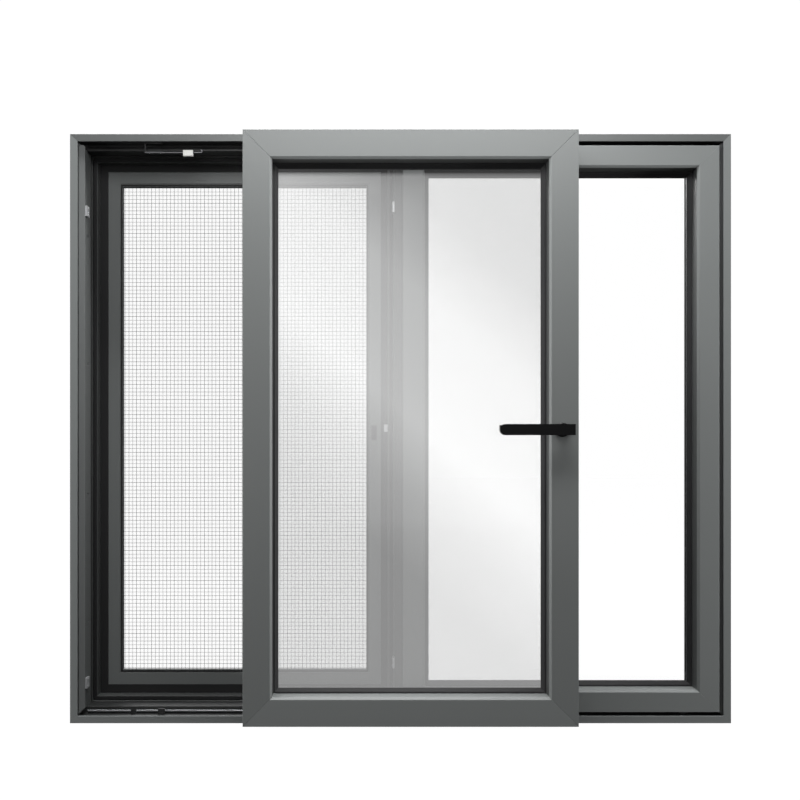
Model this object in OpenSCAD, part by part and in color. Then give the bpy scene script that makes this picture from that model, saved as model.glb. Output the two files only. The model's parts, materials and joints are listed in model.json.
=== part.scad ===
// Two-light aluminium window: a parallel-sliding sash that stands in front of its frame on
// swinging arms, a fixed light beside it, and an insect-screen sash hinged on the outside.
// X runs along the width, Z runs up, and Y runs outdoors.  Z = 0 is the seat under the sill.
// Y = 0 is the plane of the wall-fixing screws.  Depths below are counted from the room face.

/* [Outer frame] */
// Width of the whole frame
frame_w = 1200; // [1150:10:1300]
// Height of the whole frame
frame_h = 1070; // [1000:10:1200]
// Width of the visible front flange
flange_w = 13.5; // [13:0.5:14]
// Wall thickness of the hollow aluminium profiles
wall = 2; // [1.6:0.2:2.2]

/* [Moving sash] */
// Width of the sliding sash over its overlap flange
sash_w = 585.4; // [560:0.2:590]
// How far the sash centre stands to the right of the frame centre
sash_centre = 14; // [0:1:30]
// How far the sash face stands out in front of the frame face
stand_off = 88; // [84:0.5:90]
// Width of the sash face
sash_face = 48; // [46:0.5:50]
// Length of each swinging arm between its two pivots
arm_length = 83.5; // [80:0.5:84]
// Run of the sash to the left of where it stands
run_left = 218; // [150:1:218]
// Run of the sash to the right of where it stands
run_right = 270; // [200:1:270]

/* [Fixed light] */
// Width of the fixed light's face
fixed_face = 37; // [35:0.5:40]

/* [Insect screen] */
// Width of the screen sash's face
screen_face = 29.5; // [28:0.5:32]

/* [Handle] */
// Height of the handle's axis above the seat
handle_z = 532; // [450:1:600]
// Reach of the lever from the axis to its tip
lever_reach = 113; // [100:1:125]
// Height of the lever bar
lever_h = 19; // [18:0.5:22]

/* [Hidden] */
$fn = 48;

// Depths through the frame, from the room face to the outdoor face
fixing_depth = 33;
ledge_d = 9.5;
channel_d = 26;
room_d = 56;
break_d = 72;
lip_d = 80;
frame_d = 130;

// Insets from the frame's outer edge
rebate_u = 25.4;
outer_u = 33;
frame_box = [-frame_w / 2, frame_w / 2, 0, frame_h];
mid_z = frame_h / 2;

// Mullion, as left and right edges
mullion_l = -10.4;
mullion_r = 9;
mullion_lip_l = -20;
mullion_lip_r = 17;

// The openings that the two lights close
left_hole = [-frame_w / 2 + rebate_u, mullion_l, rebate_u, frame_h - rebate_u];
right_hole = [mullion_r, frame_w / 2 - rebate_u, rebate_u, frame_h - rebate_u];
screen_hole = [-frame_w / 2 + outer_u, mullion_lip_l, outer_u, frame_h - outer_u];

// Sash outlines as [left, right, bottom, top]
sash_box = [sash_centre - sash_w / 2, sash_centre + sash_w / 2, 14.7, frame_h - 14.7];
fixed_box = [4.5, frame_w / 2 - 21, 20, frame_h - 21];
screen_box = [-frame_w / 2 + 46, -31, 47, frame_h - 43];

// Section of the sashes
sash_t = 75;
flange_t = 7;
sash_body_u = 15;
fixed_body_u = 9;
groove_u = 21;
groove_d = [12, 28];
leg_web_d = [28, 30];
leg_d = 36;
pane_d = [40, 44];
back_pane_d = [60, 64];

// Running gear
arm_d = 12.5;
arm_spread = 210;
arm_x = [sash_centre - arm_spread, sash_centre + arm_spread];
arm_w = 12.4;
arm_z = [15.2, 17.8];
pin_r = 2.5;
run_fit = 0.06;
bracket_z = 18.5;
rail_d = 20;
rail_top = 20;
drain_x = [-492, -484];
roller_r = 3.55;
axle_z = 23.6;
axle_r = 1.5;
roller_offset = 22;
slider_l = 24;
runner_over = 15;
runner_z = [18.6, 24.6];
runner_d = [8.9, 17.1];

// Locking
cam_r = 4;
rod_u = [17.4, 19.6];
cam_tip_u = 10.5;
cam_d = 20;
lock_travel = 18;
strike_t = 3.5;
strike_h = 19;
strike_w = 20;
strike_left_z = [70.5, 932.5];
strike_right_z = [107.5, 940];
strike_screw_r = 1.2;

// Handle
handle_x = sash_box[1] - 29.4;
handle_tail = 15.5;
rose_t = 8;
rose_r = 12.5;
neck_r = 8.5;
lever_t = 13;
lever_front = stand_off + 45;
spindle_w = 7;

// Screen
screen_d = 108;
screen_t = 14;
screen_stop_d = [104.6, 107.6];
screen_pivot = [-frame_w / 2 + 43, 115];
latch_at = [-46, mid_z + 2];

// Wall fixing holes in the jambs, above and below the middle
fix_r = 3.25;
fix_rise = [-355, -120, 120, 355];

dark_grey = [0.36, 0.38, 0.38];
light_grey = [0.55, 0.57, 0.57];
steel = [0.75, 0.76, 0.78];
black = [0.06, 0.06, 0.06];
white = [0.93, 0.93, 0.92];
glass = [0.85, 0.93, 0.92, 0.35];

// ---- helpers ----

// Depths are counted from the room face; this puts the fixing plane on Y = 0.
module seat() translate([0, -fixing_depth, 0]) children();

// The sash's own depths, counted from its face
module on_sash() seat() translate([0, -stand_off, 0]) children();

// A bar along +X whose section is drawn as [inset, depth], mitred at both ends
module mitred(length) {
  reach = 110;
  intersection() {
    mirror([0, 0, 1]) rotate([0, 90, 0]) linear_extrude(height = length) children();
    translate([0, 300, 0]) rotate([90, 0, 0]) linear_extrude(height = 600)
      polygon([[-1, -1], [length + 1, -1], [length - reach, reach], [reach, reach]]);
  }
}

module bottom_of(b) translate([b[0], 0, b[2]]) mitred(b[1] - b[0]) children();
module top_of(b) translate([b[0], 0, b[3]]) mirror([0, 0, 1]) mitred(b[1] - b[0]) children();
module left_of(b) translate([b[0], 0, b[2]]) mirror([1, 0, 0]) rotate([0, -90, 0])
  mitred(b[3] - b[2]) children();
module right_of(b) translate([b[1], 0, b[2]]) rotate([0, -90, 0]) mitred(b[3] - b[2]) children();

// A closed ring whose section is a rectangle of insets and depths
module ring(b, inset, depth) {
  translate([0, depth[1], 0]) rotate([90, 0, 0]) linear_extrude(height = depth[1] - depth[0])
    difference() {
      translate([b[0] + inset[0], b[2] + inset[0]])
        square([b[1] - b[0] - 2 * inset[0], b[3] - b[2] - 2 * inset[0]]);
      translate([b[0] + inset[1], b[2] + inset[1]])
        square([b[1] - b[0] - 2 * inset[1], b[3] - b[2] - 2 * inset[1]]);
    }
}

// A flat sheet that fills an outline, set in from its edges
module sheet(b, inset, depth) translate([b[0] + inset, depth[0], b[2] + inset])
  cube([b[1] - b[0] - 2 * inset, depth[1] - depth[0], b[3] - b[2] - 2 * inset]);

// A rectangle drawn from two corners
module span(a, b) translate(a) square(b - a);

// A box drawn from two corners
module block(a, b) translate(a) cube(b - a);

// The same shape at the sill and, upside down, at the head
module both_ends() {
  children();
  translate([0, 0, frame_h]) mirror([0, 0, 1]) children();
}

module rod_x(x0, x1, d, z, r) translate([x0, d, z]) rotate([0, 90, 0]) cylinder(r = r, h = x1 - x0);
module rod_y(x, d0, d1, z, r) translate([x, d0, z]) rotate([-90, 0, 0]) cylinder(r = r, h = d1 - d0);
module rod_z(x, d, z0, z1, r) translate([x, d, z0]) cylinder(r = r, h = z1 - z0);

// ---- sections, as [inset, depth] ----

module jamb_section() difference() {
  polygon([[0, 0], [flange_w, 0], [flange_w, ledge_d], [rebate_u, ledge_d],
           [rebate_u, room_d], [0, room_d]]);
  span([wall, wall], [flange_w - wall, ledge_d - wall + 0.5]);
  span([wall, ledge_d + wall + 0.5], [rebate_u - wall, room_d - wall]);
}

module track_section() difference() {
  polygon([[0, 0], [flange_w, 0], [flange_w, channel_d], [rebate_u, channel_d],
           [rebate_u, room_d], [0, room_d]]);
  span([wall, wall], [flange_w - wall, channel_d - wall]);
  span([wall, channel_d + wall], [rebate_u - wall, room_d - wall]);
}

module outer_section() difference() {
  polygon([[0, break_d], [rebate_u, break_d], [rebate_u, lip_d], [outer_u, lip_d],
           [outer_u, frame_d], [0, frame_d]]);
  span([wall, break_d + wall], [rebate_u - wall, lip_d + wall]);
  span([wall, lip_d + 2 * wall], [outer_u - wall, frame_d - wall]);
}

// A glazed sash: overlap flange, bevelled room leg, glazing rebate and two chambers
module sash_section(face, body_u, chamber_u) difference() {
  polygon([[0, 0], [face - 1, 0], [face + 3, 3.5], [face + 3, leg_d], [face - 8, leg_d],
           [face - 8, sash_t], [body_u, sash_t], [body_u, flange_t], [0, flange_t]]);
  span([chamber_u, 3], [face - 1, leg_web_d[0]]);
  span([body_u + wall, leg_web_d[1]], [face - 8 - wall, sash_t - wall]);
}

// The moving sash has a hardware groove in its outer edge
module moving_section() difference() {
  sash_section(sash_face, sash_body_u, groove_u + wall);
  span([sash_body_u - 1, groove_d[0]], [groove_u, groove_d[1]]);
}

module still_section() sash_section(fixed_face, fixed_body_u, fixed_body_u + wall);

module bead_section(face) polygon([[face - 8, 66], [face + 8, 66], [face + 8, 68],
                                   [face + 3, sash_t], [face - 8, sash_t]]);

module screen_section() difference() {
  polygon([[0, screen_d], [screen_face - 5.5, screen_d], [screen_face - 5.5, screen_d + 2],
           [screen_face, screen_d + 2], [screen_face, screen_d + screen_t],
           [0, screen_d + screen_t]]);
  span([wall, screen_d + wall], [screen_face - 7.5, screen_d + screen_t - wall]);
}

// ---- cutters ----

// Wall-fixing holes straight through a jamb, on the fixing plane
module fixing_holes(side) for (rise = fix_rise)
  rod_x(side * (frame_w / 2 - rebate_u / 2) - 20, side * (frame_w / 2 - rebate_u / 2) + 20,
        fixing_depth, mid_z + rise, fix_r);

// Two screw holes for each strike plate
module strike_screws(x, heights, r, length) for (z = heights, step = [-6.2, 6.2])
  rod_x(x - length / 2, x + length / 2, cam_d, z + step, r);

module drain_slots() for (x = [-400, 0, 400]) block([x - 16, frame_d - 8, 12], [x + 16, frame_d + 1, 17]);

// ---- outer frame, room side ----

module frame_head() color(dark_grey) seat() top_of(frame_box) track_section();

module frame_sill() color(dark_grey) seat() difference() {
  bottom_of(frame_box) track_section();
  block([drain_x[0], ledge_d, 9], [drain_x[1], rail_d - 3.5, 14]);
}

module frame_jamb_left() color(dark_grey) seat() difference() {
  left_of(frame_box) jamb_section();
  fixing_holes(-1);
  strike_screws(left_hole[0], strike_left_z, strike_screw_r + run_fit, 24);
}

module frame_jamb_right() color(dark_grey) seat() difference() {
  right_of(frame_box) jamb_section();
  fixing_holes(1);
}

module frame_mullion() color(dark_grey) seat() difference() {
  block([mullion_l, 8, rebate_u], [mullion_r, room_d, frame_h - rebate_u]);
  block([mullion_l + wall, 8 + wall, 0], [mullion_r - wall, room_d - wall, frame_h]);
  both_ends() block([-30, 0, 0], [30, channel_d + 0.5, 29.2]);
  strike_screws(mullion_l, strike_right_z, strike_screw_r + run_fit, 14);
}

// ---- outer frame, outdoor side ----

module screen_sockets() both_ends()
  rod_z(screen_pivot[0], screen_pivot[1], outer_u - 3, outer_u + 1, pin_r + run_fit);

module outer_head() color(dark_grey) seat() difference() {
  top_of(frame_box) outer_section();
  screen_sockets();
}

module outer_sill() color(dark_grey) seat() difference() {
  bottom_of(frame_box) outer_section();
  screen_sockets();
  drain_slots();
}

module outer_jamb_left() color(dark_grey) seat() left_of(frame_box) outer_section();
module outer_jamb_right() color(dark_grey) seat() right_of(frame_box) outer_section();

module outer_mullion() color(dark_grey) seat() difference() {
  translate([0, 0, rebate_u]) linear_extrude(height = frame_h - 2 * rebate_u) difference() {
    polygon([[mullion_l, break_d], [mullion_r, break_d], [mullion_r, lip_d],
             [mullion_lip_r, lip_d], [mullion_lip_r, frame_d], [mullion_lip_l, frame_d],
             [mullion_lip_l, lip_d], [mullion_l, lip_d]]);
    span([mullion_l + wall, break_d + wall], [mullion_r - wall, lip_d + wall]);
    span([mullion_lip_l + wall, lip_d + 2 * wall], [mullion_lip_r - wall, frame_d - wall]);
  }
  both_ends() block([-30, lip_d, 0], [30, frame_d + 1, outer_u]);
}

module thermal_breaks() color(black) seat() {
  ring(frame_box, [2.4, 4.4], [room_d, break_d]);
  ring(frame_box, [21, 23], [room_d, break_d]);
  for (x = [mullion_l + wall, mullion_r - 2 * wall])
    block([x, room_d, rebate_u], [x + wall, break_d, frame_h - rebate_u]);
}

// An L-shaped corner piece inside two mitred profiles, mirrored into all four corners
module cleats(b, inset, depth, arm) {
  middle = [(b[0] + b[1]) / 2, 0, (b[2] + b[3]) / 2];
  for (flip_x = [0, 1], flip_z = [0, 1])
    translate(middle) mirror([flip_x, 0, 0]) mirror([0, 0, flip_z]) translate(-middle) {
      block([b[0] + inset[0], depth[0], b[2] + inset[0]], [b[0] + inset[0] + arm, depth[1], b[2] + inset[1]]);
      block([b[0] + inset[0], depth[0], b[2] + inset[0]], [b[0] + inset[1], depth[1], b[2] + inset[0] + arm]);
    }
}

module corner_cleats() color(steel) seat() {
  cleats(frame_box, [wall, rebate_u - wall - 0.2], [channel_d + wall + 0.2, room_d - wall - 0.2], 56);
  cleats(fixed_box, [fixed_body_u + wall, fixed_face - 1.2], [3, leg_web_d[0] - 0.2], 60);
}

module rail_section() {
  span([rail_d - 2.5, 0], [rail_d + 2.5, 1]);
  span([rail_d - 0.6, 0], [rail_d + 0.6, rail_top - flange_w - 1.2]);
  translate([rail_d, rail_top - flange_w - 1.2]) circle(r = 1.2);
}

// The rail's bead stops short over the drain slot
module sill_rail() color(steel) seat() difference() {
  translate([-572, 0, flange_w]) rotate([90, 0, 90]) linear_extrude(height = 1144) rail_section();
  block([drain_x[0] - 1, rail_d - 2, flange_w + 1], [drain_x[1] + 1, rail_d + 2, rail_top + 1]);
}

module head_track() color(light_grey) seat() translate([-572, 0, frame_h - flange_w]) mirror([0, 0, 1])
  rotate([90, 0, 90]) linear_extrude(height = 1144) {
    span([rail_d - 2.5, 0], [rail_d + 2.5, 1.2]);
    span([rail_d - 0.7, 0], [rail_d + 0.7, 6.5]);
  }

module jamb_strip() color(light_grey) seat() {
  x0 = -frame_w / 2 + flange_w + 1;
  x1 = -frame_w / 2 + rebate_u;
  r = (x1 - x0) / 2;
  translate([0, ledge_d, 0]) rotate([90, 0, 0]) linear_extrude(height = 1.5) {
    polygon([[x0, flange_w + 2.5], [x1, rebate_u + 1.4], [x1, frame_h - 18 - r], [x0, frame_h - 18 - r]]);
    translate([x0 + r, frame_h - 18 - r]) circle(r = r);
  }
}

// Seals round both openings, and the flat stop that the closed screen rests against
module centre_gaskets() color(black) seat() {
  ring(left_hole, [1.5, 6.5], [lip_d - 4, lip_d]);
  ring(right_hole, [1.5, 6.5], [sash_t, lip_d]);
  difference() {
    sheet(screen_hole, 0, screen_stop_d);
    sheet(screen_box, 2, [screen_stop_d[0] - 1, screen_stop_d[1] + 1]);
  }
}

module strike_plate(x, z) difference() {
  block([x, cam_d - strike_w / 2, z - strike_h / 2], [x + strike_t, cam_d + strike_w / 2, z + strike_h / 2]);
  rod_x(x - 1, x + strike_t + 1, cam_d, z, 2.4);
}

module strike_plates() color(steel) seat() {
  difference() {
    for (z = strike_left_z) strike_plate(left_hole[0], z);
    strike_screws(left_hole[0], strike_left_z, strike_screw_r + run_fit, 24);
  }
  difference() {
    for (z = strike_right_z) strike_plate(mullion_l - strike_t, z);
    strike_screws(mullion_l, strike_right_z, strike_screw_r + run_fit, 24);
  }
  block([mullion_lip_l - 7, screen_stop_d[0] - 1.2, latch_at[1] - 7],
        [mullion_lip_l, screen_stop_d[0], latch_at[1] + 7]);
}

// A small round-headed screw along X, its head facing side
module frame_screw(x, z, side) {
  rod_x(side > 0 ? x - 7 : x, side > 0 ? x : x + 7, cam_d, z, strike_screw_r);
  rod_x(side > 0 ? x : x - 1, side > 0 ? x + 1 : x, cam_d, z, 2.1);
}

catch_x = [-466, -434];
catch_d = [9.5, 16];
catch_foot_z = 1041;

module frame_screws() color(steel) seat() {
  for (z = strike_left_z, step = [-6.2, 6.2]) frame_screw(left_hole[0] + strike_t, z + step, 1);
  for (z = strike_right_z, step = [-6.2, 6.2]) frame_screw(mullion_l - strike_t, z + step, -1);
  for (x = [catch_x[0] + 6, catch_x[1] - 6]) {
    rod_z(x, 12.8, catch_foot_z - 2.7, catch_foot_z, 1.4);
    rod_z(x, 12.8, catch_foot_z - 3.6, catch_foot_z - 2.7, 2.6);
  }
}

// ---- head catch: bracket, leaf spring and nylon block ----

module catch_base() color(light_grey) seat() difference() {
  union() {
    block([catch_x[0], catch_d[0], frame_h - flange_w - 1.5], [catch_x[1], catch_d[1], frame_h - flange_w]);
    block([catch_x[0], catch_d[0], catch_foot_z - 1.5], [catch_x[0] + 1.5, catch_d[1], frame_h - flange_w]);
    block([catch_x[0], catch_d[0], catch_foot_z - 1.5], [catch_x[1], catch_d[1], catch_foot_z]);
  }
  for (x = [catch_x[0] + 6, catch_x[1] - 6]) rod_z(x, 12.8, 1030, 1050, 1.4 + run_fit);
}

module catch_spring() color(light_grey) seat() difference() {
  union() {
    block([catch_x[0], catch_d[0] + 0.5, catch_foot_z - 2.7], [-364, catch_d[1] - 0.5, catch_foot_z - 1.5]);
    translate([-364, catch_d[1] - 0.5, catch_foot_z + 0.3]) rotate([90, 0, 0])
      rotate([0, 0, -90]) linear_extrude(height = catch_d[1] - catch_d[0] - 1) intersection() {
        difference() {
          circle(r = 3);
          circle(r = 1.8);
        }
        span([-4, 0], [4, 4]);
      }
  }
  for (x = [catch_x[0] + 6, catch_x[1] - 6]) rod_z(x, 12.8, 1030, 1050, 1.4 + run_fit);
}

module catch_block() color(white) seat() difference() {
  block([-396, catch_d[0] - 0.2, 1032.6], [-378, catch_d[1] + 0.2, 1043]);
  block([-400, catch_d[0] + 0.5, catch_foot_z - 2.7], [-370, catch_d[1] - 0.5, catch_foot_z - 1.5]);
}

module run_buffers() color(black) seat() {
  left_stop = arm_x[0] - runner_over - run_left - 1;
  right_stop = arm_x[1] + runner_over + run_right + 1;
  block([left_stop - 12, 10, flange_w], [left_stop, 16.8, 24]);
  block([right_stop, 10, flange_w], [right_stop + 12, 16.8, 24]);
}

module drain_caps() color(black) seat() for (x = [-400, 0, 400]) {
  block([x - 20, frame_d, 9], [x + 20, frame_d + 1.2, 20]);
  block([x - 15, frame_d - 4, 12.5], [x + 15, frame_d, 16.5]);
  translate([x, frame_d + 1.2, 0]) rotate([90, 0, 90]) translate([0, 0, -18]) linear_extrude(height = 36)
    polygon([[0, 19], [4, 15], [4, 13.6], [0, 17.6]]);
}

// ---- glazing shared by both lights ----

module panes(b, face) {
  sheet(b, face - 3, pane_d);
  sheet(b, face - 3, back_pane_d);
}

module spacer(b, face) ring(b, [face - 1, face + 7], [pane_d[1], back_pane_d[0]]);

// Room-side wedge, outdoor strip, and the setting blocks under and beside the glass
module gaskets(b, face) {
  bottom_of(b) wedge_section(face);
  top_of(b) wedge_section(face);
  left_of(b) wedge_section(face);
  right_of(b) wedge_section(face);
  ring(b, [face - 4, face + 7.5], [back_pane_d[1], 66]);
  for (x = [b[0] + 110, b[1] - 170])
    block([x, pane_d[0] + 0.5, b[2] + face - 8], [x + 60, back_pane_d[1] - 0.5, b[2] + face - 3]);
}

module wedge_section(face) polygon([[face - 5, leg_d], [face + 3, leg_d], [face + 3, leg_d - 2],
  [face + 6, leg_d - 1.4], [face + 12, pane_d[0] - 1], [face + 12, pane_d[0]], [face - 5, pane_d[0]]]);

module beads(b, face) {
  bottom_of(b) bead_section(face);
  top_of(b) bead_section(face);
  left_of(b) bead_section(face);
  right_of(b) bead_section(face);
}

// ---- fixed light ----

module fixed_rail_top() color(dark_grey) seat() top_of(fixed_box) still_section();
module fixed_rail_bottom() color(dark_grey) seat() bottom_of(fixed_box) still_section();
module fixed_stile_left() color(dark_grey) seat() left_of(fixed_box) still_section();
module fixed_stile_right() color(dark_grey) seat() right_of(fixed_box) still_section();
module fixed_panes() color(glass) seat() panes(fixed_box, fixed_face);
module fixed_spacer() color(steel) seat() spacer(fixed_box, fixed_face);
module fixed_gaskets() color(black) seat() gaskets(fixed_box, fixed_face);
module fixed_beads() color(dark_grey) seat() beads(fixed_box, fixed_face);

// ---- moving sash ----

module sash_rail_top() color(dark_grey) on_sash() top_of(sash_box) moving_section();
module sash_rail_bottom() color(dark_grey) on_sash() bottom_of(sash_box) moving_section();
module sash_stile_left() color(dark_grey) on_sash() left_of(sash_box) moving_section();

module sash_stile_right() color(dark_grey) on_sash() difference() {
  right_of(sash_box) moving_section();
  rod_y(handle_x, -1, 4, handle_z, 6);
}

module sash_panes() color(glass) on_sash() panes(sash_box, sash_face);
module sash_spacer() color(steel) on_sash() spacer(sash_box, sash_face);
module sash_gaskets() color(black) on_sash() gaskets(sash_box, sash_face);
module sash_beads() color(dark_grey) on_sash() beads(sash_box, sash_face);

module sash_cleats() color(steel) on_sash()
  cleats(sash_box, [groove_u + wall, sash_face - 1.2], [3, leg_web_d[0] - 0.2], 75);

module lock_gearbox() color(steel) on_sash() difference() {
  block([sash_box[1] - sash_face + 1.3, 3, handle_z - 60],
        [sash_box[1] - groove_u - wall - 0.1, 26.5, handle_z + 60]);
  rod_y(handle_x, 0, 30, handle_z, 5.6);
}

// Brackets under and over the sash body that hold its ends of the four arms
module arm_brackets() color(steel) on_sash() both_ends() for (x = arm_x) {
  d = stand_off + arm_d - arm_length;
  block([x - 12, d - 7, bracket_z], [x + 12, d + 7, sash_box[2] + sash_body_u]);
  rod_z(x, d, arm_z[0] - 0.8, bracket_z, pin_r);
}

// A lock rod in the groove of a stile, with its cams; inward is +1 on the left stile
module lock_rod(edge, inward, cams) {
  x = [edge + inward * rod_u[0], edge + inward * rod_u[1]];
  tip = edge + inward * cam_tip_u;
  block([min(x), groove_d[0] + 1.5, cams[0] - 20], [max(x), groove_d[1] - 1.5, cams[1] + 20]);
  for (z = cams) rod_x(min(tip, x[0]), max(tip, x[0]), cam_d, z, cam_r);
}

module lock_rod_left() color(steel) on_sash()
  lock_rod(sash_box[0], 1, [for (z = strike_left_z) z + lock_travel]);
module lock_rod_right() color(steel) on_sash()
  lock_rod(sash_box[1], -1, [for (z = strike_right_z) z + lock_travel]);

// ---- handle ----

module handle_rose() color(black) on_sash() difference() {
  union() {
    rod_y(handle_x, -rose_t + 1.2, 0, handle_z, rose_r);
    translate([handle_x, -rose_t + 1.2, handle_z]) rotate([90, 0, 0])
      cylinder(r1 = rose_r, r2 = rose_r - 1.2, h = 1.2);
  }
  rod_y(handle_x, -rose_t - 1, 1, handle_z, 6.2);
}

module handle_lever() color(black) seat() {
  back = -lever_front + lever_t;
  tip_r = lever_h / 2;
  translate([handle_x, back, handle_z]) rotate([90, 0, 0]) linear_extrude(height = lever_t) {
    span([-lever_reach + tip_r, -lever_h / 2], [handle_tail, lever_h / 2]);
    translate([-lever_reach + tip_r, 0]) circle(r = tip_r);
    span([-lever_reach, 0], [-lever_reach + tip_r, tip_r - 2]);
  }
  rod_y(handle_x, back, -stand_off - rose_t - 0.3, handle_z, neck_r);
  block([handle_x - spindle_w / 2, back, handle_z - spindle_w / 2],
        [handle_x + spindle_w / 2, -stand_off + 24, handle_z + spindle_w / 2]);
}

// ---- running gear ----

module bottom_runner() color(steel) seat() {
  block([arm_x[0] - runner_over, runner_d[0], runner_z[0]], [arm_x[1] + runner_over, runner_d[1], runner_z[1]]);
  for (x = arm_x) rod_z(x, arm_d, arm_z[0] - 1, runner_z[0], pin_r);
  for (x = [arm_x[0] + roller_offset, arm_x[1] - roller_offset])
    rod_y(x, runner_d[1], rail_d + 2.6, axle_z, axle_r);
}

module top_runner() color(white) seat() translate([0, 0, frame_h]) mirror([0, 0, 1]) {
  block([arm_x[0] - runner_over, runner_d[0], runner_z[0]], [arm_x[1] + runner_over, runner_d[1], runner_z[1]]);
  for (x = arm_x) rod_z(x, arm_d, arm_z[0] - 1, runner_z[0], pin_r);
  for (x = [arm_x[0] + roller_offset, arm_x[1] - roller_offset]) difference() {
    block([x - slider_l / 2, runner_d[1], flange_w + 2.2], [x + slider_l / 2, rail_d + 3, runner_z[1]]);
    block([x - slider_l, rail_d - 1, flange_w], [x + slider_l, rail_d + 1, flange_w + 7]);
  }
}

module arm_pair(x) both_ends() difference() {
  union() {
    block([x - arm_w / 2, arm_d - arm_length, arm_z[0]], [x + arm_w / 2, arm_d, arm_z[1]]);
    for (d = [arm_d - arm_length, arm_d]) rod_z(x, d, arm_z[0], arm_z[1], arm_w / 2);
  }
  for (d = [arm_d - arm_length, arm_d]) rod_z(x, d, arm_z[0] - 1, arm_z[1] + 1, pin_r + run_fit);
}

module left_arms() color(steel) seat() arm_pair(arm_x[0]);
module right_arms() color(steel) seat() arm_pair(arm_x[1]);

// A flanged wheel that runs on the bead of the sill rail
module roller(x) translate([x, rail_d, axle_z]) rotate([90, 0, 0]) difference() {
  union() {
    cylinder(r = roller_r, h = 4.2, center = true);
    for (side = [-1, 1]) translate([0, 0, side * 1.8]) cylinder(r = 4.4, h = 0.6, center = true);
  }
  cylinder(r = axle_r + run_fit, h = 6, center = true);
}

module roller_left() color(white) seat() roller(arm_x[0] + roller_offset);
module roller_right() color(white) seat() roller(arm_x[1] - roller_offset);

// ---- insect screen ----

// The top rail has a short finger slot near the middle of its face
module screen_rail_top() color(dark_grey) seat() difference() {
  top_of(screen_box) screen_section();
  block([-383, screen_d - 1, screen_box[3] - 20.6], [-367, screen_d + 1.2, screen_box[3] - 18]);
}
module screen_rail_bottom() color(dark_grey) seat() bottom_of(screen_box) screen_section();
module screen_stile_left() color(dark_grey) seat() left_of(screen_box) screen_section();

module screen_stile_right() color(dark_grey) seat() difference() {
  right_of(screen_box) screen_section();
  rod_y(latch_at[0], screen_d - 1, screen_d + 3, latch_at[1], pin_r + run_fit);
}

module screen_mesh() color([0.7, 0.7, 0.7]) seat()
  sheet(screen_box, screen_face - 4.5, [screen_d + 1.6, screen_d + 2]);

module screen_spline() color(black) seat()
  ring(screen_box, [screen_face - 3.8, screen_face - 1.2], [screen_d + 0.4, screen_d + 1.6]);

// An ear on the screen's edge, with the pin that turns in the outer frame
module screen_pivot_ear(gap) {
  block([screen_pivot[0] - 3.5, screen_pivot[1] - 4, outer_u + gap - 3],
        [screen_box[0] + 14, screen_pivot[1] + 4, outer_u + gap]);
  rod_z(screen_pivot[0], screen_pivot[1], outer_u - 1.8, outer_u + gap - 3, pin_r);
}

module screen_pivots() color(steel) seat() {
  screen_pivot_ear(screen_box[2] - outer_u);
  translate([0, 0, frame_h]) mirror([0, 0, 1]) screen_pivot_ear(frame_h - screen_box[3] - outer_u);
}

module screen_latch() color(black) seat() {
  rod_y(latch_at[0], 99, screen_d + 4, latch_at[1], pin_r);
  block([latch_at[0] - 5, 99, latch_at[1] - 23], [latch_at[0] + 5, 103, latch_at[1] + 5]);
}

frame_head();
frame_sill();
frame_jamb_left();
frame_jamb_right();
frame_mullion();
outer_head();
outer_sill();
outer_jamb_left();
outer_jamb_right();
outer_mullion();
thermal_breaks();
corner_cleats();
sill_rail();
head_track();
jamb_strip();
centre_gaskets();
strike_plates();
frame_screws();
catch_base();
catch_spring();
catch_block();
run_buffers();
drain_caps();
fixed_rail_top();
fixed_rail_bottom();
fixed_stile_left();
fixed_stile_right();
fixed_panes();
fixed_spacer();
fixed_gaskets();
fixed_beads();
sash_rail_top();
sash_rail_bottom();
sash_stile_left();
sash_stile_right();
sash_panes();
sash_spacer();
sash_gaskets();
sash_beads();
sash_cleats();
lock_gearbox();
arm_brackets();
lock_rod_left();
lock_rod_right();
handle_rose();
handle_lever();
bottom_runner();
top_runner();
left_arms();
right_arms();
roller_left();
roller_right();
screen_rail_top();
screen_rail_bottom();
screen_stile_left();
screen_stile_right();
screen_mesh();
screen_spline();
screen_pivots();
screen_latch();
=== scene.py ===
# %% [markdown]
# # A sliding aluminium window, finished in Blender
# The window is a grey aluminium frame with a sash that stands in front of it on swinging
# arms, a fixed light beside it, and an insect screen on the outside.  Its shape, its sizes
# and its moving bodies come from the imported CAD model.  Blender adds what CAD leaves plain:
# softened arrises, woven wire, screw heads, and the way that each material takes the light.

import json
import math

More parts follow.
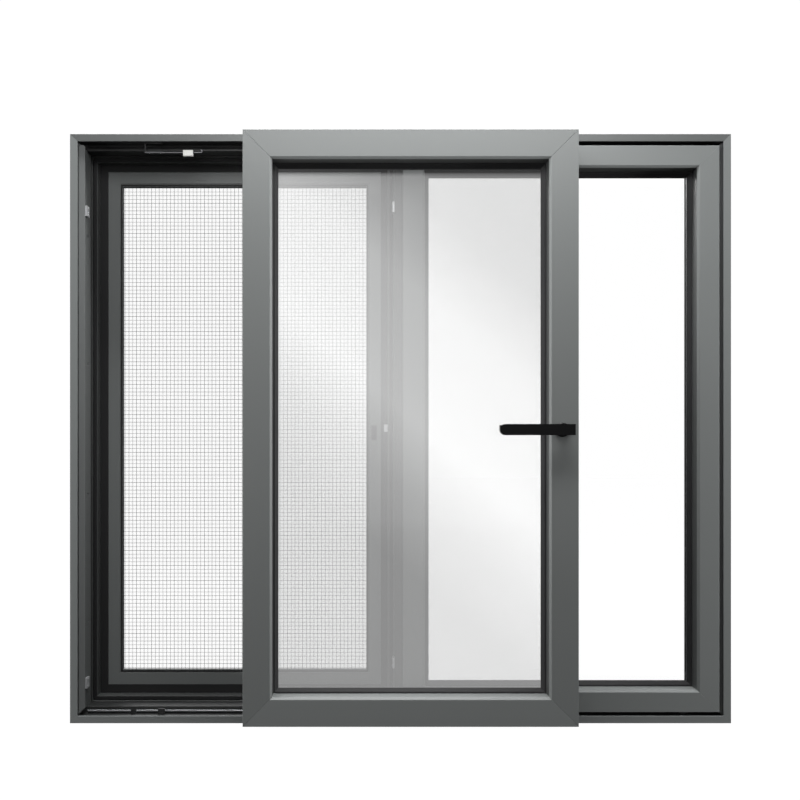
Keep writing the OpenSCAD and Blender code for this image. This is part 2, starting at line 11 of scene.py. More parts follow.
import bmesh
import bpy
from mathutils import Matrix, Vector


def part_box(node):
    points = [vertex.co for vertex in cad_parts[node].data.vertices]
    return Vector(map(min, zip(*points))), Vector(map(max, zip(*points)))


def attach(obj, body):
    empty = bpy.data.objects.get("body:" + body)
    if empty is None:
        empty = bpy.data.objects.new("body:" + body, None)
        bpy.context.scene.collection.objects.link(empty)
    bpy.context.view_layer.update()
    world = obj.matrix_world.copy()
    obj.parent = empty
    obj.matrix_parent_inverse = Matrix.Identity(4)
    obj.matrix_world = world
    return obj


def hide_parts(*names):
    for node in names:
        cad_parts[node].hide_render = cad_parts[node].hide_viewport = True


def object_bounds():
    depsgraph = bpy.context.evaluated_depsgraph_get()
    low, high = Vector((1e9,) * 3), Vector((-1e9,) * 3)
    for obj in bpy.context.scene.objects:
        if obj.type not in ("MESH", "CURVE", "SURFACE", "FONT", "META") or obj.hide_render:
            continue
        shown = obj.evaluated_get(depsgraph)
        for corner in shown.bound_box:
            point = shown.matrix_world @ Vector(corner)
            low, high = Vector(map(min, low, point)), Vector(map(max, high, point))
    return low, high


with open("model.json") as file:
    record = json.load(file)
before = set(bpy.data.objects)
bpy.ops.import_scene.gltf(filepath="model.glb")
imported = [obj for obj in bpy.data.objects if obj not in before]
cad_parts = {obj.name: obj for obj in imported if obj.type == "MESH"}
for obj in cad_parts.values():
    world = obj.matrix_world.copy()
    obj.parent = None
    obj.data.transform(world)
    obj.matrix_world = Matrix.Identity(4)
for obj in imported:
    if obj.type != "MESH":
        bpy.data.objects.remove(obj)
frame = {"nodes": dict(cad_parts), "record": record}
cad_low, cad_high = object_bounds()
nodes = frame["nodes"]
body_of = {n: body for body, members in frame["record"]["behaviour"]["bodies"].items() for n in members}
slot_of = {row["node"]: row["material_slot"] for row in frame["record"]["subparts"]}
MM = 0.001

# %% [markdown]
# ## The camera
# A catalogue picture of a window is taken straight on, so that its uprights stay upright.
# A shifted lens does what a view camera's sliding back does: the camera looks level along
# +Y, and the frame moves up and across without tilting.  Its distance decides how much of
# the inner faces shows, so it is kept, and the lens is chosen to fit the window.

# %% Aim the camera
camera = bpy.data.objects.new("camera", bpy.data.cameras.new("camera"))
bpy.context.scene.collection.objects.link(camera)
bpy.context.scene.camera = camera
EYE_ACROSS, EYE_HEIGHT, EYE_DISTANCE = -0.0914, 0.513, 2.15
FRAME_DEPTH = 0.13
camera.location = (EYE_ACROSS, cad_high.y - FRAME_DEPTH - EYE_DISTANCE, EYE_HEIGHT)
camera.rotation_euler = (math.radians(90), 0, 0)
camera.data.sensor_width = 36
camera.data.lens = 53.17
camera.data.shift_x = 0.0623
camera.data.shift_y = 0.0509
print("camera at", [round(v, 3) for v in camera.location])

# %% [markdown]
# ## The room
# The window stands in a white studio.  The background has to be pure white behind the glass
# and around the frame, yet a white room would fill the dark channels with light.  So the
# world and the floor show white to the camera and stay dim for everything else, which is
# what a photographer does with a separate lamp on the backdrop.

# %% White background
def link(tree, source, target):
    tree.links.new(source, target)


def white_for_camera(tree, seen, unseen, kind):
    """Mixes two shaders, so that the camera meets one and every other ray meets the other."""
    path = tree.nodes.new("ShaderNodeLightPath")
    mix = tree.nodes.new("ShaderNodeMixShader")
    link(tree, path.outputs["Is Camera Ray"], mix.inputs[0])
    link(tree, unseen.outputs[0], mix.inputs[1])
    link(tree, seen.outputs[0], mix.inputs[2])
    link(tree, mix.outputs[0], tree.nodes.new(kind).inputs["Surface"])


def glow(tree, kind, strength):
    node = tree.nodes.new(kind)
    node.inputs["Color"].default_value = (1, 1, 1, 1)
    node.inputs["Strength"].default_value = strength
    return node


world = bpy.data.worlds.new("studio")
bpy.context.scene.world = world
world.use_nodes = True
world.node_tree.nodes.clear()
WHITE = 1.03
AMBIENT = 0.06
white_for_camera(world.node_tree, glow(world.node_tree, "ShaderNodeBackground", WHITE),
                 glow(world.node_tree, "ShaderNodeBackground", AMBIENT), "ShaderNodeOutputWorld")
print("background is", WHITE, "to the camera and", AMBIENT, "to the window")

# %% [markdown]
# ## The floor
# The window stands on a floor that melts into the background.  To the camera it glows, a
# little brighter with the distance from the window, and a trace of matt colour lets it take
# a soft shadow near the sill.  To every other ray it is a dark matt plane, so that it sends
# hardly any light up into the window.

# %% Pale floor
FLOOR_REACH = 14
FLOOR_DROP = 0.8 * MM
floor_mesh = bpy.data.meshes.new("floor")
corners = [(x * FLOOR_REACH, y * FLOOR_REACH, -FLOOR_DROP) for x, y in [(-1, -1), (1, -1), (1, 1), (-1, 1)]]
floor_mesh.from_pydata(corners, [], [(0, 1, 2, 3)])
floor = bpy.data.objects.new("floor", floor_mesh)
bpy.context.scene.collection.objects.link(floor)
floor_paint = bpy.data.materials.new("pale_floor")
floor_paint.use_nodes = True
floor_tree = floor_paint.node_tree
floor_tree.nodes.clear()


def matt(tone):
    node = floor_tree.nodes.new("ShaderNodeBsdfDiffuse")
    node.inputs["Color"].default_value = (tone, tone, tone, 1)
    return node


NEAR, FAR = 0.3, 1.8
SEEN_TONE, UNSEEN_TONE = 0.02, 0.035
away = floor_tree.nodes.new("ShaderNodeVectorMath")
away.operation = "LENGTH"
link(floor_tree, floor_tree.nodes.new("ShaderNodeTexCoord").outputs["Object"], away.inputs[0])
whitening = floor_tree.nodes.new("ShaderNodeMapRange")
for label, given in {"From Min": NEAR, "From Max": FAR, "To Min": 1.0, "To Max": WHITE}.items():
    whitening.inputs[label].default_value = given
link(floor_tree, away.outputs["Value"], whitening.inputs["Value"])
shine = glow(floor_tree, "ShaderNodeEmission", WHITE)
link(floor_tree, whitening.outputs[0], shine.inputs["Strength"])
seen_floor = floor_tree.nodes.new("ShaderNodeAddShader")
link(floor_tree, shine.outputs[0], seen_floor.inputs[0])
link(floor_tree, matt(SEEN_TONE).outputs[0], seen_floor.inputs[1])
white_for_camera(floor_tree, seen_floor, matt(UNSEEN_TONE), "ShaderNodeOutputMaterial")
floor_mesh.materials.append(floor_paint)
bpy.context.scene.view_settings.view_transform = "Standard"
print("floor reaches", FLOOR_REACH, "m")

# %% [markdown]
# ## The lamps
# One long softbox hangs close in front of the top rail, so the coat is brightest there and
# falls off towards the sill.  A weak fill at the camera keeps the low rails readable.  A box
# high overhead lights the ledges that face up, two narrow boxes at the sides draw the bright
# lines along the chamfers, and lamps behind light the outdoor face for anyone who walks round.

# %% Hang the lamps
def softbox(name, place, target, width, height, watts):
    """A rectangular lamp at a place, turned to a target, all in metres."""
    lamp = bpy.data.lights.new(name, "AREA")
    lamp.shape = "RECTANGLE"
    lamp.size = width
    lamp.size_y = height
    lamp.energy = watts
    holder = bpy.data.objects.new(name, lamp)
    holder.location = place
    holder.rotation_euler = (Vector(target) - Vector(place)).to_track_quat("-Z", "Y").to_euler()
    holder.visible_camera = False
    bpy.context.scene.collection.objects.link(holder)


softbox("key", (0.05, -0.55, 1.22), (0.05, -0.12, 0.9), 0.9, 0.2, 3.7)
softbox("fill", (-0.3, -3.4, 0.9), (0, 0, 0.5), 2.2, 1.6, 12)
softbox("overhead", (0, -0.25, 2.4), (0, -0.1, 0), 1.5, 0.4, 74)
softbox("left_edge", (-2.0, -0.42, 0.7), (0, -0.1, 0.6), 0.4, 1.4, 28)
softbox("right_edge", (2.0, -0.42, 0.7), (0, -0.1, 0.6), 0.4, 1.4, 28)
softbox("outdoor_key", (-0.9, 2.1, 1.9), (0, 0.1, 0.6), 1.6, 0.9, 26)
softbox("outdoor_fill", (1.8, 2.2, 0.8), (0, 0.1, 0.5), 1.2, 1.2, 14)

# %% [markdown]
# ## Adding a node
# Materials and the trees that build geometry are both nets of nodes.  One helper adds a
# node of any kind to any net: it makes the node, applies its settings, and gives each named
# socket either a fixed number or a wire from another node.

# %% Add any node
def new_node(tree, kind, settings=None, sockets=None):
    """Adds a node: its settings first, then a number, a colour or a link for each socket."""
    node = tree.nodes.new(kind)
    for key, setting in (settings or {}).items():
        setattr(node, key, setting)
    for key, given in (sockets or {}).items():
        usable = [s for s in node.inputs if s.enabled]
        socket = usable[key] if isinstance(key, int) else next(s for s in usable if s.name == key)
        if isinstance(given, bpy.types.NodeSocket):
            tree.links.new(given, socket)
        else:
            socket.default_value = given
    return node


# %% [markdown]
# ## Writing materials as sums
# A finish is a recipe of colours, roughness and small bumps that vary over the piece.
# Blender holds such a recipe as a net of nodes.  The small class below wraps one socket,
# so that `1 - mask * 0.4` in the script adds the Math nodes for it, and the recipe reads
# like the sum that it is.

# %% A socket that can be added up
class Value:
    """A number that varies over a surface: one output socket, with arithmetic on it."""

    def __init__(self, recipe, socket):
        self.recipe = recipe
        self.socket = socket

    def maths(self, operation, a, b=None, clamp=False):
        sockets = {0: a} if b is None else {0: a, 1: b}
        settings = {"operation": operation, "use_clamp": clamp}
        return self.recipe.value("ShaderNodeMath", settings, sockets)

    def __add__(self, other):
        return self.maths("ADD", self, other)

    def __sub__(self, other):
        return self.maths("SUBTRACT", self, other)

    def __rsub__(self, other):
        return self.maths("SUBTRACT", other, self)

    def __mul__(self, other):
        return self.maths("MULTIPLY", self, other)

    def __truediv__(self, other):
        return self.maths("DIVIDE", self, other)

    def __gt__(self, other):
        return self.maths("GREATER_THAN", self, other)

    def __lt__(self, other):
        return self.maths("LESS_THAN", self, other)

    def between(self, low, high):
        """1 where the value is between two numbers, and 0 elsewhere."""
        return (self > low) * (self < high)

    def sine(self):
        return self.maths("SINE", self)

    def within_one(self):
        return self.maths("ADD", self, 0, clamp=True)

    __radd__ = __add__
    __rmul__ = __mul__


# %% [markdown]
# ## A recipe for one material
# Every other node, such as a noise or the surface shader itself, comes from one method.
# It takes the node's type, then its settings, then what goes into its sockets.  All of the
# patterns read Object coordinates, in metres, so a speck of 2 mm is 2 mm on every piece.

# %% A recipe
class Recipe:
    """A material's node net."""

    def __init__(self, name):
        self.material = bpy.data.materials.new(name)
        self.material.use_nodes = True
        self.tree = self.material.node_tree
        self.tree.nodes.clear()
        self.place = self.add("ShaderNodeTexCoord").outputs["Object"]
        split = self.add("ShaderNodeSeparateXYZ", {}, {"Vector": self.place})
        self.x, self.y, self.z = [Value(self, split.outputs[axis]) for axis in "XYZ"]

    def add(self, kind, settings=None, sockets=None):
        plain = {key: given.socket if isinstance(given, Value) else given
                 for key, given in (sockets or {}).items()}
        return new_node(self.tree, kind, settings, plain)

    def ramp(self, place, stops):
        """A colour that runs through the stops, each a position and a colour."""
        node = self.add("ShaderNodeValToRGB", {}, {"Fac": place})
        elements = node.color_ramp.elements
        while len(elements) > 1:
            elements.remove(elements[-1])
        for number, (position, shade) in enumerate(stops):
            stop = elements[0] if number == 0 else elements.new(position)
            stop.position = position
            stop.color = shade
        return Value(self, node.outputs[0])

    def value(self, kind, settings=None, sockets=None):
        return Value(self, self.add(kind, settings, sockets).outputs[0])

    def noise(self, size, detail=2, stretch=(1, 1, 1)):
        """Soft random blotches of about the given size in metres, from 0 to 1."""
        scaled = self.add("ShaderNodeMapping", {"vector_type": "POINT"},
                          {"Vector": self.place, "Scale": tuple(1 / (size * s) for s in stretch)})
        return self.value("ShaderNodeTexNoise", {"noise_dimensions": "3D"},
                          {"Vector": scaled.outputs[0], "Scale": 1.0, "Detail": detail})

    def mix(self, share, first, second):
        """A colour between two colours."""
        node = self.add("ShaderNodeMix", {"data_type": "RGBA"}, {"Factor": share, "A": first, "B": second})
        return next(s for s in node.outputs if s.enabled)

    def scaled(self, shade, tone):
        """A colour made lighter or darker by a value."""
        node = self.add("ShaderNodeVectorMath", {"operation": "SCALE"}, {0: shade[:3], "Scale": tone})
        return node.outputs[0]

    def bump(self, height, depth, strength=1.0):
        """Small hills, as deep in metres as depth says where the height is 1."""
        node = self.add("ShaderNodeBump", {}, {"Strength": strength, "Distance": depth, "Height": height})
        return node.outputs[0]

    def surface(self, **sockets):
        """Ends the recipe with the surface shader; an underscore in a name stands for a space."""
        named = {key.replace("_", " "): given for key, given in sockets.items()}
        shader = self.add("ShaderNodeBsdfPrincipled", {}, named)
        self.add("ShaderNodeOutputMaterial", {}, {"Surface": shader.outputs[0]})
        return self.material


def colour(red, green, blue):
    return (red, green, blue, 1)


# %% [markdown]
# ## Powder coat
# The profiles are powder coated: a dry paint, sprayed on and baked, which flows into a
# satin skin with a fine orange peel.  The recipe has a slow drift of tone, a fine fleck
# from the pigment, and a bump of under two millimetres across.  The channels and rebates
# lie in shade, and that shade is painted into the coat: each coat may name a space, behind
# the face of the frame or of a sash, in which its tone drops.

# %% Powder coat recipe
EDGE = 1.2 * MM
ROOM_FACE = -0.033
OUTDOOR_FACE = ROOM_FACE + FRAME_DEPTH
LEVER_REACH_OUT = 0.045
SASH_FACE = cad_low.y + LEVER_REACH_OUT
CHAMFER = 4 * MM


def behind(face):
    """The corners of the space behind a face, a little inside the window's outline."""
    return ((cad_low.x + EDGE, face, cad_low.z + EDGE),
            (cad_high.x - EDGE, OUTDOOR_FACE - EDGE, cad_high.z - EDGE))


# The spaces behind the faces, where the coats carry painted shade.
BEHIND_FLANGE = behind(ROOM_FACE + EDGE)
BEHIND_LIGHT = behind(ROOM_FACE + CHAMFER)
BEHIND_SASH = behind(SASH_FACE + CHAMFER)


def inside_of(recipe, low, high):
    """1 inside a box in space, and 0 outside it."""
    across, deep, up = [value.between(a, b) for value, a, b in
                        zip((recipe.x, recipe.y, recipe.z), low, high)]
    return across * deep * up


def powder_coat(name, face, painted_shade_tone=1.0, hidden=BEHIND_FLANGE):
    """The satin coat, with painted shade in the hidden space: the tone after the face is how bright it stays
    there.
    """
    recipe = Recipe(name)
    drift = recipe.noise(350 * MM, 3)
    fleck = recipe.noise(0.9 * MM, 1)
    peel = recipe.noise(1.6 * MM, 2)
    tone = 0.93 + drift * 0.10 + fleck * 0.05
    # Painted shade: the tone drops in the space behind the face, where the channels lie in shade.
    if painted_shade_tone < 1:
        tone = tone * (1 - inside_of(recipe, *hidden) * (1 - painted_shade_tone))
    return recipe.surface(Base_Color=recipe.scaled(face, tone), Roughness=0.40 + peel * 0.10, IOR=1.5,
                          Specular_IOR_Level=0.45, Normal=recipe.bump(peel, 0.02 * MM, 0.6))


print("hidden space of the frame:", [[round(v, 3) for v in corner] for corner in BEHIND_FLANGE])

# %% [markdown]
# ## A coat for each profile
# One coat would do if every profile met the same light.  The head lies in the shade of the
# sash and the ledges face the lamp overhead, so some profiles get a coat of their own, with
# painted shade or painted light in its tone, and the rest share the coat of their slot.

# %% Coat the profiles
FRAME_COAT = colour(0.188, 0.199, 0.197)
SASH_COAT = colour(0.174, 0.184, 0.182)
finishes = {
    # The frame and the sash coats keep 0.3 of their tone in their channels: painted shade.
    "frame_paint": powder_coat("frame_coat", FRAME_COAT, 0.3),
    "sash_paint": powder_coat("sash_coat", SASH_COAT, 0.3, BEHIND_SASH),
    "screen_paint": powder_coat("screen_coat", colour(0.190, 0.201, 0.199)),
    "strip_paint": powder_coat("strip_coat", colour(0.195, 0.203, 0.203)),
}
own_finishes = {
    # Painted shade: the head's coat is darker, and darker still in its channel, and the sill holds more
    # painted shade in its channel than the frame coat does.
    "frame_head": powder_coat("shaded_head_coat", colour(0.108, 0.114, 0.113), 0.11),
    "frame_sill": powder_coat("sill_coat", FRAME_COAT, 0.12),
    # The fixed light's bottom ledge keeps no painted shade, and the sash's bottom ledge is painted lighter:
    # painted light.
    "fixed_rail_bottom": powder_coat("ledge_coat", FRAME_COAT),
    "sash_rail_bottom": powder_coat("lit_sash_ledge_coat", colour(0.200, 0.211, 0.209)),
}
# The jambs hold less painted shade in their channels, and the fixed light holds painted shade behind its own
# face.
own_finishes.update(dict.fromkeys(("frame_jamb_left", "frame_jamb_right"),
                                  powder_coat("jamb_coat", FRAME_COAT, 0.5)))
own_finishes.update(dict.fromkeys(("fixed_rail_top", "fixed_stile_left", "fixed_stile_right"),
                                  powder_coat("light_coat", FRAME_COAT, 0.4, BEHIND_LIGHT)))
print("coats:", sorted(finishes), "and", len(own_finishes), "profiles with their own")

# %% [markdown]
# ## Bare metals
# Zinc plate is a bright grey with cloudy patches.  Mill aluminium carries the die's fine
# drawing lines along its length, so its noise is stretched along X.  The sill rail shows
# bright metal only on its bead, and below the bead it is painted near black, as shade.

# %% Zinc and mill aluminium
CLOUDED = 0.82
# The near-black colour of the sill rail below its bead: painted shade.
CHANNEL_SHADE = colour(0.02, 0.02, 0.021)


def bare_metal(name, tint, stretch, roughness, bead_height=None):
    """Bright metal; below bead_height it is painted near black, the painted shade of the channel."""
    recipe = Recipe(name)
    cloud = recipe.noise(12 * MM, 3)
    lines = recipe.noise(0.6 * MM, 2, stretch)
    dull = colour(*[CLOUDED * c for c in tint[:3]])
    shade = recipe.mix(cloud, dull, tint)
    if bead_height:
        # Painted shade: below the bead the rail takes a near-black colour, the shade of the sill channel.
        shade = recipe.mix(recipe.z > bead_height, CHANNEL_SHADE, shade)
    return recipe.surface(Base_Color=shade, Metallic=0.85, Roughness=roughness + cloud * 0.12 + lines * 0.08,
                          Normal=recipe.bump(lines, 0.01 * MM, 0.5))


EVEN = (1, 1, 1)
ALONG_X = (60, 1, 1)
finishes["zinc_steel"] = bare_metal("zinc_plate", colour(0.74, 0.75, 0.77), EVEN, 0.28)
finishes["bare_aluminium"] = bare_metal("mill_aluminium", colour(0.72, 0.73, 0.74), ALONG_X, 0.30)
own_finishes["sill_rail"] = bare_metal("rail_metal", colour(0.36, 0.37, 0.38), ALONG_X, 0.30, 17 * MM)
own_finishes["catch_spring"] = bare_metal("spring_steel", colour(0.24, 0.24, 0.25), EVEN, 0.35)
print("finishes with the metals:", len(finishes))

# %% [markdown]
# ## Rubber, plastic and nylon
# The gaskets are extruded rubber, dull and nearly black, with a faint grain.  The plastic
# pieces have the even texture of a moulding tool.  Nylon is milky white and slightly glossy.

# %% Moulded and extruded finishes
def moulded(name, shade, grain, depth, roughness, spread=0.15, gloss=0.5):
    """A soft material with a grain of a size and a depth; spread is how much its tone drifts."""
    recipe = Recipe(name)
    texture = recipe.noise(grain, 2)
    cloud = recipe.noise(20 * MM, 2)
    tone = (1 - spread / 2) + cloud * spread
    return recipe.surface(Base_Color=recipe.scaled(shade, tone), Roughness=roughness + texture * 0.12,
                          Specular_IOR_Level=gloss, Normal=recipe.bump(texture, depth, 0.7))


finishes["black_rubber"] = moulded("gasket_rubber", colour(0.010, 0.010, 0.011), 0.7 * MM, 0.03 * MM, 0.55)
finishes["black_plastic"] = moulded("black_moulding", colour(0.014, 0.014, 0.015), 0.5 * MM, 0.03 * MM, 0.42)
finishes["black_handle"] = moulded("handle_coat", colour(0.004, 0.004, 0.0045), 0.9 * MM, 0.012 * MM, 0.34,
                                   gloss=0.15)
finishes["white_nylon"] = moulded("nylon", colour(0.84, 0.84, 0.81), 1.2 * MM, 0.02 * MM, 0.38, 0.06)
# Painted shade: the catch's bracket is grey metal in the shade of the head, painted near black.
own_finishes["catch_base"] = moulded("shaded_bracket_coat", colour(0.020, 0.020, 0.021), 0.7 * MM, 0.02 * MM, 0.45)
own_finishes["head_track"] = moulded("track_coat", colour(0.006, 0.006, 0.006), 0.7 * MM, 0.02 * MM, 0.5,
                                     gloss=0.2)
print("finishes with the mouldings:", len(finishes))

# %% [markdown]
# ## Glass
# Each light holds two panes.  Real panes are clear, but the sliding sash stands in front
# of the white room and its low-emission film throws back a pale reflection.  Thin clear sheets
# render fast and clean when the surface is mostly see-through, so Alpha does the work here,
# and the reflection is painted in as a faint glow in a band that slants down to the right.
# Under the top rail a painted shadow fades it out.  The fixed panes have no painted reflection.

# %% Glass recipes
SLANT = 0.85
# Where the painted shadow of the top rail begins on the glass, and how soft its edge is.
VEIL_TOP = 0.986
VEIL_FADE = 4 * MM
PANE_TINT = colour(0.12, 0.125, 0.125)


def pane_glass(name, held_back, painted_reflection=None):
    """Clear glass that holds back a share of the light at each face, with a painted reflection that glows.

    The painted reflection is a list of pairs: a place up a slanting line, as a share of the height, and a
    number."""
    recipe = Recipe(name)
    haze = recipe.noise(250 * MM, 2, (1, 1, 2.5))
    # Painted shadow: near the top rail the glass holds back less, so its glow fades out.
    shaded = ((recipe.z - VEIL_TOP) / VEIL_FADE).within_one()
    alpha = held_back * (0.96 + haze * 0.08) * (1 - shaded * 0.9)
    glass = {"Base_Color": PANE_TINT, "Roughness": 0.06, "IOR": 1.5, "Alpha": alpha}
    # Painted reflection: an emission glow that rises and falls along a slanting band.
    if painted_reflection:
        up_the_slant = ((recipe.z + recipe.x * SLANT) / cad_high.z).within_one()
        stops = [(at, colour(given, given, given)) for at, given in painted_reflection]
        band = recipe.ramp(up_the_slant, stops)
        glass["Emission_Color"] = recipe.scaled(colour(1.0, 1.0, 1.0), band)
        glass["Emission_Strength"] = 1.0
    made = recipe.surface(**glass)
    made.surface_render_method = "BLENDED"
    return made


finishes["sash_glass"] = pane_glass("coated_glass", 0.163, [
    (0.12, 0.46), (0.27, 0.46), (0.40, 0.60), (0.53, 0.85), (0.75, 0.73), (0.91, 0.42), (1.0, 0.36)])
finishes["fixed_glass"] = pane_glass("clear_glass", 0.008)
print("finishes with the glass:", len(finishes))

# %% [markdown]
# ## Coated wire
# The insect screen is woven from thin wire with a grey coat.  Its weave is too fine to
# model wave by wave, so the wires are straight and a small bump along them, one wave for
# two meshes, gives each crossing its over and under.

# %% Wire recipe
PITCH = 2.4 * MM
LAYER = 0.1 * MM


def wire_coat():
    recipe = Recipe("coated_wire")
    turn = math.pi / PITCH
    wave = (recipe.x * turn).sine() * (recipe.z * turn).sine()
    tone = recipe.noise(50 * MM, 2)
    shade = recipe.mix(tone, colour(0.05, 0.052, 0.054), colour(0.08, 0.083, 0.085))
    return recipe.surface(Base_Color=shade, Roughness=0.45, Normal=recipe.bump(wave, 0.05 * MM, 0.5))


finishes["screen_wire"] = wire_coat()
print("finishes:", len(finishes))

# %% [markdown]
# ## From a rough piece to a finished one
# A piece is built with modifiers and then settled: the result becomes a plain mesh, which is
# what an export needs.  A finished piece then gets its material, and it is told which CAD
# node it stands for, so that it moves with the right body.

# %% Settle and finish a piece
def settled(rough, name):
    """Turns an object with modifiers into a plain mesh object, and removes the rough one."""
    graph = bpy.context.evaluated_depsgraph_get()
    mesh = bpy.data.meshes.new_from_object(rough.evaluated_get(graph))
    mesh.name = name
    made = bpy.data.objects.new(name, mesh)
    bpy.context.scene.collection.objects.link(made)
    bpy.data.objects.remove(rough)
    return made


def paint(piece, node):
    """Gives a piece the finish of its node, or of its slot where the node has none of its own."""
    piece.data.materials.clear()
    piece.data.materials.append(own_finishes.get(node, finishes[slot_of[node]]))


def finish(piece, node):
    """Makes a piece stand for a CAD node, with its material and its body."""
    paint(piece, node)
    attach(piece, body_of[node])
    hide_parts(node)


print("nodes with a finish of their own:", sorted(own_finishes))

# %% [markdown]
# ## Soft arrises
# CAD edges are razor sharp, and real extrusions are not: each arris has a radius of up to a
# millimetre, which catches a thin line of light.  A copy of each CAD piece is merged, its
# long edges get the full radius and its short ones, such as the two sides of a mitre, only
# a hair, and the copy stands for the CAD node.

# %% Soften a piece
SHARP = math.radians(35)
FLAT = math.radians(0.5)
LONG = 60 * MM
SAME_POINT = 0.002 * MM


def mark_arrises(mesh, short_share):
    """Weights the sharp edges for the bevel, and returns how many there are."""
    weight = mesh.edges.layers.float.new("bevel_weight_edge")
    count = 0
    for edge in mesh.edges:
        sharp = len(edge.link_faces) == 2 and edge.calc_face_angle(0) > SHARP
        edge.smooth = not sharp
        if sharp:
            edge[weight] = 1.0 if edge.calc_length() > LONG else short_share
            count += 1
    return count


def dressed(node, radius, short_share):
    """A softened copy of a CAD node; short edges get only a share of the radius."""
    mesh = bmesh.new()
    mesh.from_mesh(nodes[node].data)
    bmesh.ops.remove_doubles(mesh, verts=mesh.verts, dist=SAME_POINT)
    bmesh.ops.dissolve_limit(mesh, angle_limit=FLAT, verts=mesh.verts, edges=mesh.edges)
    count = mark_arrises(mesh, short_share)
    for face in mesh.faces:
        face.smooth = True
    plain = bpy.data.meshes.new(node + "_plain")
    mesh.to_mesh(plain)
    mesh.free()
    rough = bpy.data.objects.new(node + "_rough", plain)
    bpy.context.scene.collection.objects.link(rough)
    bevel = rough.modifiers.new("arris", "BEVEL")
    bevel.limit_method = "WEIGHT"
    bevel.width = radius
    bevel.segments = 2
    bevel.harden_normals = True
    made = settled(rough, node + "_dressed")
    finish(made, node)
    return made, count


print("an edge is sharp from", round(math.degrees(SHARP)), "degrees")

# %% [markdown]
# ## Which piece gets which arris
# Thick extrusions have larger radii than sheet metal.  The table gives the radius by
# material slot, and a few pieces have their own.

# %% Dress the pieces
RADII = {"frame_paint": 0.9, "sash_paint": 0.6, "screen_paint": 0.4, "strip_paint": 0.3,
         "zinc_steel": 0.2, "bare_aluminium": 0.2, "black_plastic": 0.4, "black_handle": 0.5,
         "white_nylon": 0.3}
OWN_RADII = {"handle_lever": 1.6, "catch_block": 0.8, "strike_plates": 0.35}
FULL, HAIR = 1.0, 0.3
LEFT_PLAIN = {"screen_mesh", "frame_screws", "corner_cleats", "sash_cleats", "lock_gearbox"}
for node in sorted(nodes):
    slot = slot_of[node]
    if node in LEFT_PLAIN or slot not in RADII:
        paint(nodes[node], node)
        continue
    radius = OWN_RADII.get(node, RADII[slot]) * MM
    made, count = dressed(node, radius, FULL if node in OWN_RADII else HAIR)
    print(f"{node}: {count} arrises of {radius / MM:.1f} mm, {len(made.data.polygons)} faces")

# %% [markdown]
# ## Building with Geometry Nodes
# What repeats is made by a Geometry Nodes tree: the sizes are named inputs, and the tree
# lays the copies out.  The helper adds nodes in the same way as the material recipe.

# %% A tree builder
class Layout:
    """A Geometry Nodes tree with named inputs."""

    def __init__(self, name, inputs):
        self.tree = bpy.data.node_groups.new(name, "GeometryNodeTree")
        self.tree.interface.new_socket("Geometry", in_out="OUTPUT", socket_type="NodeSocketGeometry")
        self.tree.interface.new_socket("Geometry", in_out="INPUT", socket_type="NodeSocketGeometry")
        kinds = {float: "NodeSocketFloat", int: "NodeSocketInt"}
        self.names = {}
        for label, given in inputs.items():
            socket = self.tree.interface.new_socket(label, in_out="INPUT", socket_type=kinds[type(given)])
            self.names[label] = socket.identifier
        self.given = inputs
        self.start = self.tree.nodes.new("NodeGroupInput")

    def add(self, kind, settings=None, sockets=None):
        """Adds a node and returns its first usable output."""
        node = new_node(self.tree, kind, settings, sockets)
        return next(s for s in node.outputs if s.enabled)

    def maths(self, operation, a, b):
        return self.add("ShaderNodeMath", {"operation": operation}, {0: a, 1: b})

    def finish(self, geometry, material):
        real = self.add("GeometryNodeRealizeInstances", {}, {"Geometry": geometry})
        painted = self.add("GeometryNodeSetMaterial", {}, {"Geometry": real, "Material": material})
        self.tree.links.new(painted, self.tree.nodes.new("NodeGroupOutput").inputs[0])

    def grow(self, name, mesh):
        """Runs the tree on a mesh and returns the result as a plain object."""
        rough = bpy.data.objects.new(name + "_rough", mesh)
        bpy.context.scene.collection.objects.link(rough)
        modifier = rough.modifiers.new("layout", "NODES")
        modifier.node_group = self.tree
        for label, identifier in self.names.items():
            modifier[identifier] = self.given[label]
        return settled(rough, name)


# %% [markdown]
# ## The insect screen
# Thin wires cross in the opening of the screen frame, with a stouter wire at every third
# mesh to stiffen it.  Wires in the two directions lie on each side of the sheet's middle
# and touch where they cross.  A six-sided rod is round enough at under a millimetre.

# %% Weave the screen
mesh_low, mesh_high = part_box("screen_mesh")
weave = Layout("screen_weave", {"Width": mesh_high.x - mesh_low.x, "Height": mesh_high.z - mesh_low.z,
                                "Pitch": PITCH, "Thin": 0.08 * MM, "Stout": 0.60 * MM, "Stouter": 0.76 * MM})
inputs = {s.name: s for s in weave.start.outputs}
rod = weave.add("GeometryNodeMeshCylinder", {}, {"Vertices": 6, "Radius": 0.5, "Depth": 1.0})
index = weave.add("GeometryNodeInputIndex")


